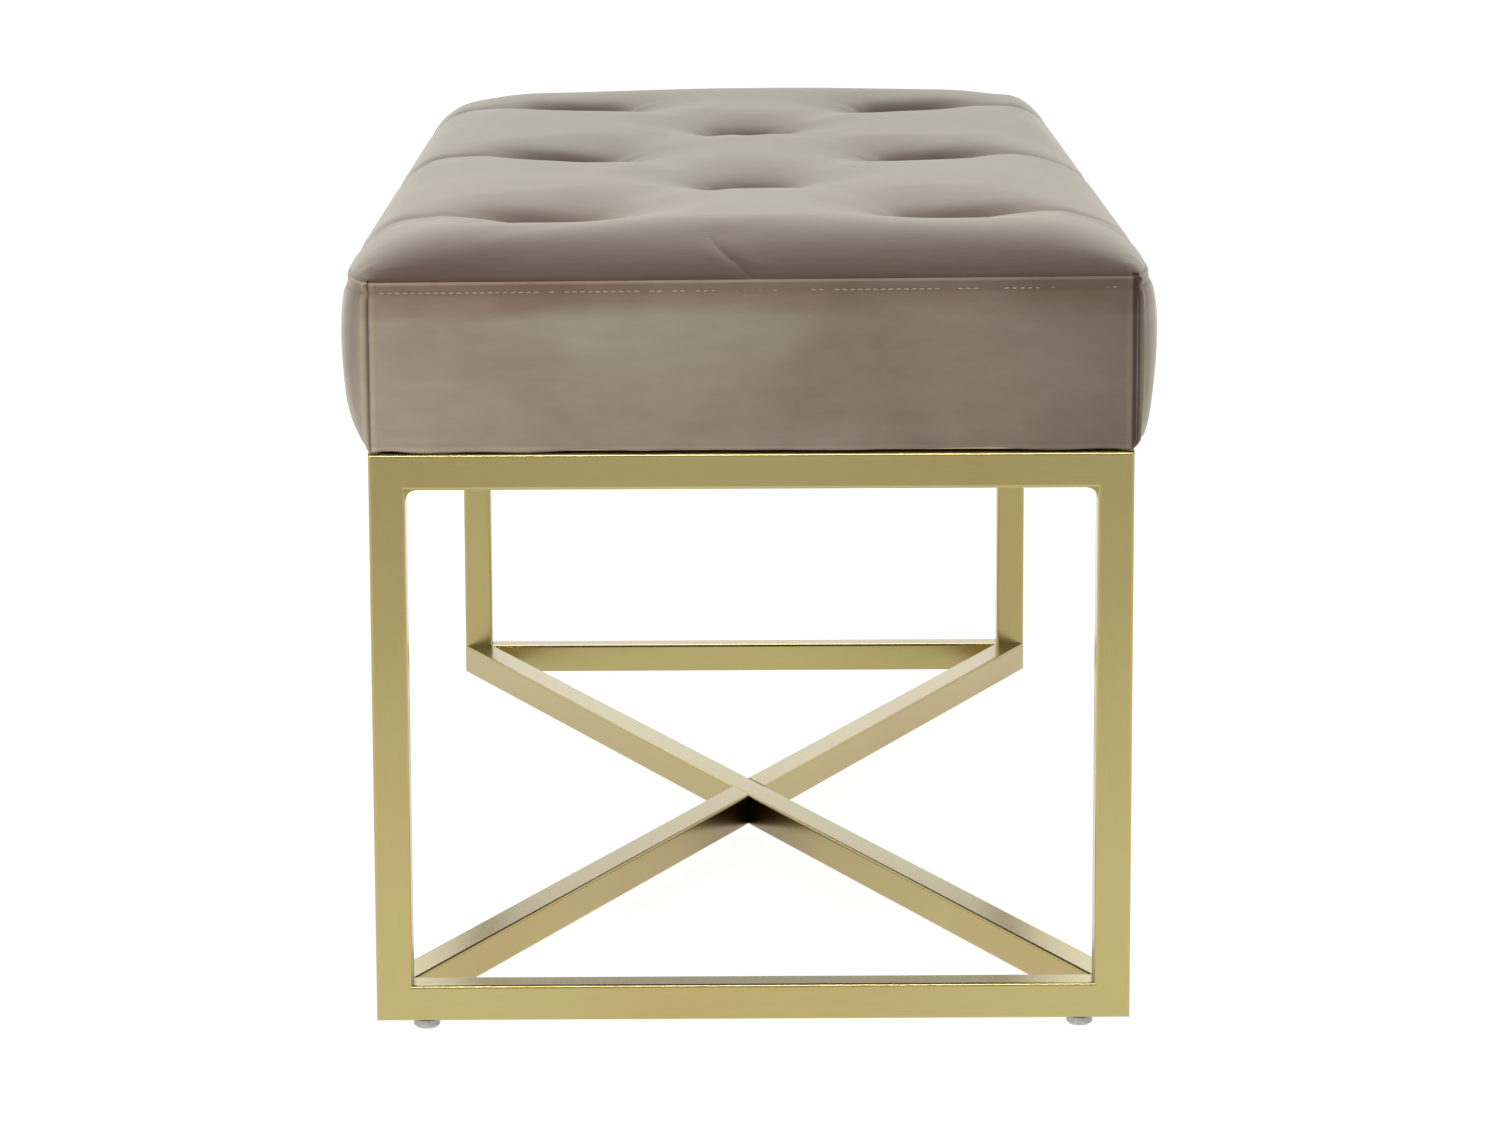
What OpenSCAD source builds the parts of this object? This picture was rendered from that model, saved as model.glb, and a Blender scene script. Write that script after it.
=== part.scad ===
// Tufted bench: a square-tube frame with an X stretcher, and a boxed, blind-tufted cushion.
// Length runs along X, width along Y. The origin is on the floor, under the middle.

/* [Frame] */
// Length of the frame, outside to outside
frame_len = 1120; // [1040:10:1200]
// Width of the frame, outside to outside
frame_w = 460; // [420:5:500]
// Height of the frame, from the underside of its bottom rails to its top face
frame_h = 350; // [300:5:400]
// Outside of the square tube
tube = 22; // [20:1:25]
// Wall of the square tube
tube_wall = 1.5; // [1.2:0.1:2]
// Radius on the tube's long edges
tube_edge_r = 2; // [1:0.25:3]
// Leg of the weld fillet in the upper corners of the end frames
weld_leg = 6; // [4:0.5:8]
// Leg of the small weld fillet beside each end of the stretcher
stretcher_weld_leg = 3; // [2:0.5:4]

/* [Cushion] */
// Height of the boxing, from the cushion's underside to the top seam
box_h = 105; // [90:1:120]
// Rise of the crown above the top seam
crown_h = 26.5; // [18:0.5:32]
// How far in from the seam the crown rises
crown_run = 88; // [70:1:100]
// How far the cushion's corner seams stand inside the frame's sides
corner_in = 1; // [0.5:0.5:3]
// Swell of the long sides at half height, past the line from their lower edge to their seam
side_swell = 12; // [8:1:18]
// Swell of the ends at half height
end_swell = 4; // [2:0.5:8]
// How far the long sides' top seam stands out from the corners
seam_out = 12; // [6:0.5:15]
// Thickness of the velvet cover
cover_t = 1.2; // [1:0.1:1.6]
// Width of the hem turned under the seat board
hem_w = 24; // [15:1:30]
// Thickness of the wadding at the top seam
wadding_edge_t = 12.5; // [10:0.5:20]

/* [Tufts] */
// Distance between rows of tufts, along the bench
tuft_pitch = 200; // [170:5:215]
// Distance of the paired tufts from the cushion's sides
tuft_in = 107; // [90:1:125]
// Depth of a tuft's pit
pit_depth = 23; // [16:1:24]
// Radius of the pit
pit_r = 20; // [15:1:26]
// Depth of the wide dimple round a tuft
dimple_depth = 6; // [2:0.5:8]
// Radius of the wide dimple
dimple_r = 58; // [45:1:70]
// Depth of the pleat from an outer tuft to the side seam
pleat_depth = 7; // [3:0.5:9]
// Half width of a pleat
pleat_w = 13; // [9:1:20]
// How far a pleat pulls the side seam in
pleat_pull = 5; // [2:0.5:7]
// Depth of the fold between neighbouring tufts
fold_depth = 4; // [2:0.5:6]
// Half width of that fold
fold_w = 22; // [15:1:30]

/* [Seat board] */
// Thickness of the plywood board
board_t = 15; // [12:1:18]
// Thickness of the dust cover
dust_t = 0.5; // [0.4:0.1:0.8]
// How far the dust cover stays inside the frame's sides
dust_in = 8; // [5:1:12]

/* [Seat fixings] */
// Distance of the outer fixings from the middle, along the bench
fixing_x = 420; // [300:5:460]
// Length of a welded tab
tab_l = 44; // [36:1:60]
// How far a tab reaches in from its rail
tab_w = 32; // [26:1:40]
// Thickness of a tab
tab_t = 3; // [2:0.5:4]
// Diameter of the fixing bolts
bolt_d = 6; // [5:0.5:8]
// Length of a bolt's shank
bolt_l = 16; // [12:1:18]
// Tuft anchor washer's diameter
anchor_d = 18; // [14:1:24]
// Diameter of the tufting twine
tie_d = 2; // [1.2:0.1:3]

/* [Feet] */
// Distance of a foot's centre from the frame's outer side
foot_inset = 30; // [25:1:60]
// Diameter of a glide pad
pad_d = 16; // [14:1:20]
// Height of a glide pad
pad_h = 5; // [4.5:0.1:8]
// Travel of a glide when it is screwed out
foot_travel = 6; // [3:0.5:8]
// Diameter of the glide's threaded stud
stud_d = 6; // [5:0.5:7]
// Length of the threaded insert above its flange
insert_l = 13; // [9:1:15]

/* [Hidden] */

$fn = 48;
gold = [0.80, 0.72, 0.50];
velvet = [0.60, 0.56, 0.49];
steel = [0.72, 0.73, 0.74];

// One overrun serves every cut
over = 1;
// Radial clearance of a shaft that turns or slides in its bore
run_gap = 0.05;
// Clearance of each soft piece from what it lies against
soft_gap = 0.3;
// Gap between a glide pad and the insert's flange when the glide is screwed home
home_gap = 0.2;

// Insert, stud and pad of a foot
insert_wall = 2;
insert_lip = 1.5;
insert_flange_t = 0.8;
insert_r = stud_d / 2 + insert_wall;
insert_flange_r = insert_r + insert_lip;
stud_r = stud_d / 2 - run_gap;
stud_end_gap = 1;
pad_floor_t = 1.6;
pad_chamfer = 1.6;
collar_step = 1.5;
collar_t = 1.4;
collar_r = stud_r + collar_step;
foot_h = pad_h + home_gap + insert_flange_t;
stud_top = foot_h + tube - tube_wall - stud_end_gap;
foot_x = (frame_len - tube) / 2;
foot_y = frame_w / 2 - foot_inset;

// Levels, from the floor up
frame_top = foot_h + frame_h;
hem_z = frame_top + dust_t;
board_z = hem_z + cover_t;
foam_z = board_z + board_t;
seam_z = hem_z + box_h;
wadding_z = seam_z - wadding_edge_t;
foam_t = wadding_z - soft_gap - foam_z;

// Frame in plan
inner_x = frame_len / 2 - tube;
inner_y = frame_w / 2 - tube;
side_rail_y = (frame_w - tube) / 2;
bore_side = tube - 2 * tube_wall;
// Radius of a weld's hollow, as a share of its leg
weld_hollow_share = 0.95;
// The stretcher's outer side meets the frame's outer corner line at the end frame's inner face
reach = norm([inner_x, frame_w / 2]);
stretcher_angle = acos(tube / 2 / reach) - atan2(inner_x, frame_w / 2);

// Seat fixings
tab_hole_share = 0.6;
fixing_y = inner_y - tab_w * tab_hole_share;
fixing_xs = [-fixing_x, 0, fixing_x];
bolt_r = bolt_d / 2 - 2 * run_gap;
nut_bore_r = bolt_d / 2;
nut_wall = 1.25;
nut_barrel_share = 0.75;
nut_lip = 5;
nut_r = nut_bore_r + nut_wall;
nut_flange_r = nut_r + nut_lip;
nut_flange_t = 1.2;
washer_lip = 4;
washer_r = nut_bore_r + washer_lip;
washer_t = 1.2;
head_t = 4;
head_lip = 2.7;
head_r = bolt_r + head_lip;
hole_clear = 0.5;

// Cushion corners and tufts
corner_x = frame_len / 2 - corner_in;
corner_y = frame_w / 2 - corner_in;
tuft_y = corner_y - tuft_in;
tie_hole_r = 3 * tie_d;
anchor_t = cover_t - soft_gap / 2;
// Rows of tufts, in pitches from the middle
pair_row_shares = [-2, 0, 2];
single_row_shares = [-1, 1];
tufts = concat([for (k = pair_row_shares, s = [-1, 1]) [k * tuft_pitch, s * tuft_y]],
  [for (k = single_row_shares) [k * tuft_pitch, 0]]);
folds = [for (k = single_row_shares, d = [-1, 1], s = [-1, 1])
  [[k * tuft_pitch, 0], [(k + d) * tuft_pitch, s * tuft_y]]];
corner_power = 36;

// Lines of the cushion's grid: shares of the pitch near each row, then of the run to the end
near_row_shares = [0, 0.125, 0.275, 0.5, 0.725, 0.875];
past_row_shares = [0.16, 0.5, 0.84, 0.96];
near_pair_shares = [0.2, 0.5, 0.8, 1];
past_pair_shares = [0.23, 0.7, 0.94];
half_xs = concat([for (k = [0, 1], s = near_row_shares) (k + s) * tuft_pitch], [2 * tuft_pitch],
  [for (s = past_row_shares) 2 * tuft_pitch + s * (corner_x - 2 * tuft_pitch)]);
half_ys = concat([0], [for (s = near_pair_shares) s * tuft_y],
  [for (s = past_pair_shares) tuft_y + s * (corner_y - tuft_y)]);
last_x = len(half_xs);
last_y = len(half_ys);
nx = 2 * last_x + 1;
ny = 2 * last_y + 1;

// Heights of the boxing's rows of points, as shares of the boxing
boxing_shares = [0, 0.17, 0.38, 0.6, 0.82, 1];

// Swell and pull of the sides, straight between the rows of points
pull_power = 3;
swell_table = [for (s = boxing_shares) [s, 4 * s * (1 - s)]];
pull_table = [for (s = boxing_shares) [s, pow(s, pull_power)]];
pull_spread_share = 1.6;

// Section of the crown: a rounded shoulder that eases into the flat
crown_ease_power = 2.4;
crown_round_power = 0.62;

function cubic_step(t) = let (u = min(1, max(0, t))) u * u * (3 - 2 * u);
function edge_rise(d) = let (t = min(1, max(0, d / crown_run)))
  pow(1 - pow(1 - t, crown_ease_power), crown_round_power);
function bell(d, w) = exp(-pow(d / w, 2));
function box_share(z) = min(1, max(0, (z - hem_z) / box_h));
function near_corner(a, full) = 1 - pow(min(1, abs(a) / full), corner_power);

// Pull of the pleats on the side seam, at x and at a share of the boxing's height
function pull(x, share) = pleat_pull * lookup(share, pull_table)
  * max([for (k = pair_row_shares) bell(x - k * tuft_pitch, pull_spread_share * pleat_w)]);

// Outer surface of the long sides and of the ends
function side_y(x, z) = let (u = box_share(z)) corner_y
  + (side_swell * lookup(u, swell_table) + seam_out * u) * near_corner(x, corner_x) - pull(x, u);
function end_x(y, z) = let (u = box_share(z)) corner_x
  + end_swell * lookup(u, swell_table) * near_corner(y, corner_y);

// Distance from a point to a segment
function off_line(p, a, b) = let (d = b - a, t = min(1, max(0, (p - a) * d / (d * d))))
  norm(p - a - t * d);
function past_pair(y) = cubic_step((abs(y) - tuft_y) / (corner_y - tuft_y) * 3);
function dips(x, y) = pit_depth * max([for (t = tufts) bell(norm([x, y] - t), pit_r)])
  + dimple_depth * max([for (t = tufts) bell(norm([x, y] - t), dimple_r)])
  + fold_depth * max([for (f = folds) bell(off_line([x, y], f[0], f[1]), fold_w)])
  + pleat_depth * past_pair(y) * max([for (k = pair_row_shares) bell(x - k * tuft_pitch, pleat_w)]);

// Height of the top panel: the crown, less the tufts, folds and pleats, held to the seam
function top_z(x, y) = let (
    rise_x = edge_rise(end_x(y, seam_z) - abs(x)),
    rise_y = edge_rise(side_y(x, seam_z) - abs(y)))
  seam_z + rise_x * rise_y * crown_h - dips(x, y) * min(1, 2 * rise_x * rise_y);

// Grid lines, from one edge to the other
function grid_x(i) = let (k = i - last_x) abs(k) == last_x ? sign(k) * corner_x
  : (k < 0 ? -half_xs[-k] : half_xs[k]);
function grid_y(j) = let (k = j - last_y) abs(k) == last_y ? sign(k) * corner_y
  : (k < 0 ? -half_ys[-k] : half_ys[k]);

// A point of the top, drawn in from the seam by inset and lowered by drop
function top_point(i, j, inset, drop) = let (x = grid_x(i), y = grid_y(j),
    px = i == 0 || i == nx - 1 ? sign(x) * (end_x(y, seam_z) - inset) : x,
    py = j == 0 || j == ny - 1 ? sign(y) * (side_y(x, seam_z) - inset) : y)
  [px, py, (px != x || py != y || i == 0 || j == 0 || i == nx - 1 || j == ny - 1
    ? seam_z : top_z(x, y)) - drop];
function top_grid(inset, drop) = [for (j = [0:ny - 1], i = [0:nx - 1]) top_point(i, j, inset, drop)];

// The outline at one level, anticlockwise from the left front corner
function outline_point(i, j, z, inset) = let (x = grid_x(i), y = grid_y(j),
    px = i == 0 || i == nx - 1 ? sign(x) * (end_x(y, z) - inset) : x,
    py = j == 0 || j == ny - 1 ? sign(y) * (side_y(x, z) - inset) : y) [px, py, z];
function outline(z, inset) = concat(
  [for (i = [0:nx - 2]) outline_point(i, 0, z, inset)],
  [for (j = [0:ny - 2]) outline_point(nx - 1, j, z, inset)],
  [for (i = [nx - 1:-1:1]) outline_point(i, ny - 1, z, inset)],
  [for (j = [ny - 1:-1:1]) outline_point(0, j, z, inset)]);

// Faces of a grid of n columns and m rows that starts at point a; turned flips them
function grid_faces(n, m, a, turned) = [for (j = [0:m - 2], i = [0:n - 2], half = [0, 1])
  let (p = a + j * n + i, q = p + n,
    f = half == 0 ? [p, q, q + 1] : [p, q + 1, p + 1])
  turned ? [f[2], f[1], f[0]] : f];

// Indices round the edge of a grid, anticlockwise
function rim(n, m) = concat([for (i = [0:n - 2]) i], [for (j = [0:m - 2]) j * n + n - 1],
  [for (i = [n - 1:-1:1]) (m - 1) * n + i], [for (j = [m - 1:-1:1]) j * n]);
function strip_faces(low, high) = let (n = len(low)) [for (k = [0:n - 1], half = [0, 1])
  let (l = (k + 1) % n) half == 0 ? [low[k], high[k], high[l]] : [low[k], high[l], low[l]]];
function shifted(list, a) = [for (v = list) v + a];
function turned_list(list) = [for (k = [len(list) - 1:-1:0]) list[k]];

// A sheet between an outer and an inner grid of n columns and m rows
module sheet(outer, inner, n, m) {
  edge = rim(n, m);
  polyhedron(points = concat(outer, inner), faces = concat(
    grid_faces(n, m, 0, false), grid_faces(n, m, n * m, true),
    strip_faces(shifted(edge, n * m), edge)), convexity = 6);
}

// A solid of stacked rings, flat below and above
module stacked(rings) {
  n = len(rings[0]);
  ids = [for (k = [0:n - 1]) k];
  polyhedron(points = [for (r = rings, p = r) p], faces = concat([ids],
    [for (k = [0:len(rings) - 2], f = strip_faces(shifted(ids, k * n), shifted(ids, (k + 1) * n))) f],
    [turned_list(shifted(ids, (len(rings) - 1) * n))]), convexity = 4);
}

module at_feet(sides_x = [-1, 1], sides_y = [-1, 1]) {
  for (sx = sides_x, sy = sides_y) translate([sx * foot_x, sy * foot_y, 0]) children();
}
module at_tufts() {
  for (t = tufts) translate([t[0], t[1], 0]) children();
}
module at_fixings() {
  for (x = fixing_xs, s = [-1, 1]) translate([x, s * fixing_y, 0]) children();
}

// Square tube along X, centred, with rounded long edges
module tube_profile() {
  difference() {
    union() {
      square([tube - 2 * tube_edge_r, tube], center = true);
      square([tube, tube - 2 * tube_edge_r], center = true);
      for (sx = [-1, 1], sy = [-1, 1])
        translate([sx, sy] * (tube / 2 - tube_edge_r)) circle(r = tube_edge_r);
    }
    square(bore_side, center = true);
  }
}
module tube_bar(length) {
  rotate([90, 0, 90]) linear_extrude(height = length, center = true) tube_profile();
}

// Tube with both ends mitred, its long side up
module mitred_bar(length) {
  intersection() {
    tube_bar(length);
    rotate([90, 0, 0]) linear_extrude(height = 2 * tube, center = true)
      polygon([[-length / 2, tube / 2], [-length / 2 + tube, -tube / 2],
        [length / 2 - tube, -tube / 2], [length / 2, tube / 2]]);
  }
}

module end_top_rail(side) {
  color(gold) translate([side * foot_x, 0, frame_top - tube / 2]) rotate([0, 0, 90]) mitred_bar(frame_w);
}
module end_bottom_rail(side) {
  color(gold) difference() {
    translate([side * foot_x, 0, foot_h + tube / 2]) rotate([0, 0, 90])
      mirror([0, 0, 1]) mitred_bar(frame_w);
    at_feet([side]) translate([0, 0, foot_h - over])
      cylinder(r = insert_r + run_gap, h = tube_wall + 2 * over);
  }
}
module end_post(side, facing) {
  color(gold) translate([side * foot_x, facing * side_rail_y, foot_h + frame_h / 2])
    mirror([0, facing < 0 ? 1 : 0, 0]) rotate([0, 0, -90]) rotate([0, -90, 0]) mitred_bar(frame_h);
}
module side_rail(facing) {
  color(gold) translate([0, facing * side_rail_y, frame_top - tube / 2]) tube_bar(2 * inner_x);
}

// X stretcher: one tube runs through, two halves butt against its sides
module stretcher_span() {
  translate([0, 0, foot_h + tube / 2]) cube([2 * inner_x, 2 * frame_w, 2 * tube], center = true);
}
module long_diagonal() {
  color(gold) intersection() {
    translate([0, 0, foot_h + tube / 2]) rotate([0, 0, stretcher_angle]) tube_bar(2 * reach);
    stretcher_span();
  }
}
module half_diagonal(side) {
  color(gold) difference() {
    intersection() {
      translate([0, 0, foot_h + tube / 2]) rotate([0, 0, -stretcher_angle])
        translate([side * reach / 2, 0, 0]) tube_bar(reach);
      stretcher_span();
    }
    translate([0, 0, foot_h + tube / 2]) rotate([0, 0, stretcher_angle])
      cube([2 * reach, tube, 2 * tube], center = true);
  }
}

// Concave fillet between two faces at right angles, along Z
module fillet(leg, length) {
  linear_extrude(height = length, center = true) difference() {
    square(leg);
    translate([leg, leg]) circle(r = weld_hollow_share * leg);
  }
}
// Fillets in the end frames' upper corners, and bevels between the stretcher and the lower rails
module weld_fillets() {
  weld_l = tube - 2 * tube_edge_r;
  bevel_y = frame_w / 2 - tube / cos(stretcher_angle);
  along = stretcher_weld_leg * [cos(stretcher_angle), sin(stretcher_angle)];
  color(gold) for (sx = [0, 1], sy = [0, 1]) mirror([sx, 0, 0]) mirror([0, sy, 0]) {
    translate([foot_x, inner_y, frame_top - tube])
      rotate([0, 90, 0]) mirror([0, 1, 0]) fillet(weld_leg, weld_l);
    translate([inner_x, bevel_y, foot_h + tube_edge_r]) linear_extrude(height = weld_l)
      polygon([[0, 0], -along, [0, -stretcher_weld_leg]]);
  }
}

// Tabs welded inside the side rails, for the bolts that hold the seat
module seat_tabs() {
  color(gold) for (x = fixing_xs, s = [-1, 1]) difference() {
    translate([x - tab_l / 2, s > 0 ? inner_y - tab_w : -inner_y, frame_top - tab_t])
      cube([tab_l, tab_w, tab_t]);
    translate([x, s * fixing_y, frame_top - tab_t - over])
      cylinder(r = bolt_d / 2 + hole_clear, h = tab_t + 2 * over);
  }
}

// Feet
module foot_inserts() {
  color(steel) at_feet() difference() {
    union() {
      translate([0, 0, foot_h - insert_flange_t]) cylinder(r = insert_flange_r, h = insert_flange_t);
      translate([0, 0, foot_h]) cylinder(r = insert_r, h = insert_l);
    }
    translate([0, 0, foot_h - insert_flange_t - over]) cylinder(r = stud_d / 2, h = insert_l + 3 * over);
  }
}
module foot_pad(side, facing) {
  color([0.78, 0.78, 0.76]) at_feet([side], [facing]) difference() {
    rotate_extrude() polygon([[0, 0], [pad_d / 2 - pad_chamfer, 0], [pad_d / 2, pad_chamfer],
      [pad_d / 2, pad_h], [0, pad_h]]);
    translate([0, 0, pad_floor_t]) cylinder(r = stud_d / 2, h = pad_h);
    translate([0, 0, pad_floor_t]) cylinder(r = collar_r + run_gap, h = collar_t + 2 * run_gap);
  }
}
module foot_stud(side, facing) {
  color(steel) at_feet([side], [facing]) {
    translate([0, 0, pad_floor_t + run_gap]) cylinder(r = collar_r, h = collar_t);
    translate([0, 0, pad_floor_t + run_gap]) cylinder(r = stud_r, h = stud_top - pad_floor_t);
  }
}

// Seat board and its fixings
module seat_board() {
  color([0.80, 0.66, 0.46]) difference() {
    translate([-corner_x + cover_t + soft_gap, -corner_y + cover_t + soft_gap, board_z])
      cube([2 * (corner_x - cover_t - soft_gap), 2 * (corner_y - cover_t - soft_gap), board_t]);
    at_tufts() translate([0, 0, board_z - over]) cylinder(r = tie_hole_r, h = board_t + 2 * over);
    at_fixings() translate([0, 0, board_z - over])
      cylinder(r = nut_r + run_gap, h = board_t + 2 * over);
  }
}
module tee_nuts() {
  color(steel) at_fixings() difference() {
    union() {
      translate([0, 0, foam_z]) cylinder(r = nut_flange_r, h = nut_flange_t);
      translate([0, 0, foam_z - nut_barrel_share * board_t])
        cylinder(r = nut_r, h = nut_barrel_share * board_t);
    }
    translate([0, 0, board_z]) cylinder(r = nut_bore_r, h = board_t + nut_flange_t + over);
  }
}
module seat_bolts() {
  color(steel) at_fixings() {
    translate([0, 0, frame_top - tab_t - washer_t - head_t]) cylinder(r = head_r, h = head_t, $fn = 6);
    translate([0, 0, frame_top - tab_t - washer_t]) cylinder(r = bolt_r, h = bolt_l);
  }
}
module bolt_washers() {
  color(steel) at_fixings() translate([0, 0, frame_top - tab_t - washer_t]) difference() {
    cylinder(r = washer_r, h = washer_t);
    translate([0, 0, -over]) cylinder(r = nut_bore_r, h = washer_t + 2 * over);
  }
}

// Foam, wadding and twine
module foam_block() {
  rows = [for (s = boxing_shares) hem_z + s * box_h];
  levels = concat([foam_z], [for (z = rows) if (z > foam_z && z < foam_z + foam_t) z], [foam_z + foam_t]);
  color([0.95, 0.90, 0.72]) difference() {
    stacked([for (z = levels) outline(z, cover_t + soft_gap)]);
    at_tufts() translate([0, 0, foam_z - over]) cylinder(r = tie_hole_r, h = foam_t + 2 * over);
    at_fixings() translate([0, 0, foam_z - over])
      cylinder(r = nut_flange_r + soft_gap, h = nut_flange_t + soft_gap + over);
  }
}
module crown_wadding() {
  n = nx * ny;
  ring = outline(wadding_z, cover_t + soft_gap);
  low = [for (k = [0:len(ring) - 1]) n + k];
  color([0.97, 0.97, 0.95]) difference() {
    polyhedron(points = concat(top_grid(cover_t + soft_gap, cover_t + soft_gap), ring),
      faces = concat(grid_faces(nx, ny, 0, false), strip_faces(low, rim(nx, ny)), [low]),
      convexity = 6);
    at_tufts() translate([0, 0, wadding_z - over])
      cylinder(r = tie_hole_r, h = seam_z + crown_h - wadding_z);
  }
}
module tuft_ties() {
  color([0.9, 0.88, 0.8]) for (t = tufts) translate([t[0], t[1], board_z - anchor_t])
    cylinder(d = tie_d, h = top_z(t[0], t[1]) - cover_t - soft_gap - board_z + anchor_t);
}
module tuft_anchors() {
  color([0.9, 0.9, 0.9]) at_tufts() translate([0, 0, board_z - anchor_t]) difference() {
    cylinder(d = anchor_d, h = anchor_t);
    translate([0, 0, -over]) cylinder(r = tie_d / 2 + run_gap, h = anchor_t + 2 * over);
  }
}

// Cover
module top_panel() {
  color(velvet) sheet(top_grid(0, 0), top_grid(0, cover_t), nx, ny);
}

// Points of a boxing: hem, turned edge and wall, as [depth inside the outline, height]
function boxing_rows(inset) = let (bend = inset > 0 ? soft_gap / 3 : 1.5 * cover_t) concat(
  [[hem_w, hem_z + inset], [inset + bend, hem_z + inset], [inset, hem_z + inset + bend]],
  [for (k = [1:len(boxing_shares) - 2]) [inset, hem_z + boxing_shares[k] * box_h]],
  [[inset, seam_z - cover_t - soft_gap]]);

// Both ends of a boxing stop short of the corner's mitre by half of the seam gap
function side_boxing_grid(inset) = [for (r = boxing_rows(inset), i = [0:nx - 1])
  let (x = grid_x(i), edge = corner_x - r[0] - soft_gap / 2)
  [min(edge, max(-edge, x)), -(side_y(x, r[1]) - r[0]), r[1]]];
function end_boxing_grid(inset) = [for (r = boxing_rows(inset), j = [0:ny - 1])
  let (y = grid_y(j), edge = corner_y - r[0] - soft_gap / 2)
  [end_x(y, r[1]) - r[0], min(edge, max(-edge, y)), r[1]]];

module side_boxing(turn) {
  color(velvet) rotate([0, 0, turn])
    sheet(side_boxing_grid(0), side_boxing_grid(cover_t), nx, len(boxing_rows(0)));
}
module end_boxing(turn) {
  color(velvet) rotate([0, 0, turn])
    sheet(end_boxing_grid(0), end_boxing_grid(cover_t), ny, len(boxing_rows(0)));
}

module dust_cover() {
  color([0.15, 0.15, 0.15]) difference() {
    translate([-frame_len / 2 + dust_in, -frame_w / 2 + dust_in, frame_top])
      cube([frame_len - 2 * dust_in, frame_w - 2 * dust_in, dust_t]);
    at_fixings() translate([0, 0, frame_top - over])
      cylinder(r = bolt_d / 2 + hole_clear, h = dust_t + 2 * over);
  }
}

end_top_rail(1);  // right_top_rail
end_bottom_rail(1);  // right_bottom_rail
end_post(1, -1);  // right_front_post
end_post(1, 1);  // right_back_post
end_top_rail(-1);  // left_top_rail
end_bottom_rail(-1);  // left_bottom_rail
end_post(-1, -1);  // left_front_post
end_post(-1, 1);  // left_back_post
side_rail(-1);  // front_side_rail
side_rail(1);  // back_side_rail
long_diagonal();
half_diagonal(1);  // right_half_diagonal
half_diagonal(-1);  // left_half_diagonal
weld_fillets();
seat_tabs();
foot_inserts();
foot_pad(1, -1);  // right_front_pad
foot_pad(1, 1);  // right_back_pad
foot_pad(-1, -1);  // left_front_pad
foot_pad(-1, 1);  // left_back_pad
foot_stud(1, -1);  // right_front_stud
foot_stud(1, 1);  // right_back_stud
foot_stud(-1, -1);  // left_front_stud
foot_stud(-1, 1);  // left_back_stud
seat_board();
tee_nuts();
seat_bolts();
bolt_washers();
foam_block();
crown_wadding();
top_panel();
end_boxing(0);  // right_end_boxing
end_boxing(180);  // left_end_boxing
side_boxing(0);  // front_boxing
side_boxing(180);  // back_boxing
tuft_ties();
tuft_anchors();
dust_cover();
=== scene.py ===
import math

import bpy
import numpy as np
from mathutils import Matrix, Vector


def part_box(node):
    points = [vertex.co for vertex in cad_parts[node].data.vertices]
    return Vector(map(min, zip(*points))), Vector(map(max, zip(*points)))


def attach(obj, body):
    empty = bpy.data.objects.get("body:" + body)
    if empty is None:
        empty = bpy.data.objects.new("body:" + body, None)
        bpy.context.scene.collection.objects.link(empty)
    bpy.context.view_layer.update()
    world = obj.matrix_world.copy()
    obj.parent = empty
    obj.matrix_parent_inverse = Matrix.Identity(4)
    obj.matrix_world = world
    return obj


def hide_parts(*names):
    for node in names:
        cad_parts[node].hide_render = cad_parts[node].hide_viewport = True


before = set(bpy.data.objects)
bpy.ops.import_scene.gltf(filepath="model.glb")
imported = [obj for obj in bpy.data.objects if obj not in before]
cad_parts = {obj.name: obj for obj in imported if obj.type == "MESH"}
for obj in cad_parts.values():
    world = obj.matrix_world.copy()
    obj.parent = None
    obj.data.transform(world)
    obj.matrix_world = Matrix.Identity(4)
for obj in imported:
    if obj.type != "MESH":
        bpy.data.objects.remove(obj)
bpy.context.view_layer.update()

# Sizes, in metres. Levels and outside sizes come from the frame.
MM = 0.001
HALF_LENGTH, HALF_WIDTH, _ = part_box("right_top_rail")[1]
COVER_T = 1.2 * MM
HEM_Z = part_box("seat_board")[0][2] - COVER_T
BOX_H = 105 * MM
SEAM_Z = HEM_Z + BOX_H
CROWN_H = 26.5 * MM
CROWN_RUN = 88 * MM
# The crown stands this much higher in the middle of the left end
DOME = 2.5 * MM
# The stuffing is a little lower along the front: drop of the top and its seam there
TILT = 2.4 * MM
CORNER_X = HALF_LENGTH - 1 * MM
CORNER_Y = HALF_WIDTH - 1 * MM
END_SWELL = 4 * MM
# The two long sides aren't stuffed alike: widest swell, and swell at the top seam
FRONT_SWELL = (20 * MM, 16 * MM)
BACK_SWELL = (15 * MM, 9 * MM)
BACK_EXTRA = 3 * MM
WIDEST = 0.66
# Each pleat pulls the side seam in by this much, over this width
SEAM_PULL = 5 * MM
PULL_WIDTH = 20 * MM
# The crown's shoulders are stuffed fuller along the front, and at the back towards the left end
SHOULDER = 4.2 * MM

# The panel's grid is about this coarse, and the cloth simulation takes every third line of it
GRID_STEP = 3.4 * MM
CLOTH_STEP = 3
CLOTH_PRESSURE = 3.0
CLOTH_FRAMES = 20
# No point moves further than this, and those this near a tuft are held
CLOTH_CAP = 3 * MM
CLOTH_HELD = 15 * MM

# Tufts, in plan: pairs in rows 1, 3 and 5, single ones in rows 2 and 4
TUFT_PITCH = 200 * MM
TUFT_Y = 107 * MM
PAIR_ROWS = (-2, 0, 2)
SINGLE_ROWS = (-1, 1)
# Hand-sewn tufts sit a little off their marks: by row and side
TUFT_OFF = {(2, 1): -12 * MM, (0, 1): 14 * MM, (-2, 1): 8 * MM,
            (2, -1): -6 * MM, (-1, 0): -6 * MM, (1, 0): -8 * MM}
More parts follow.
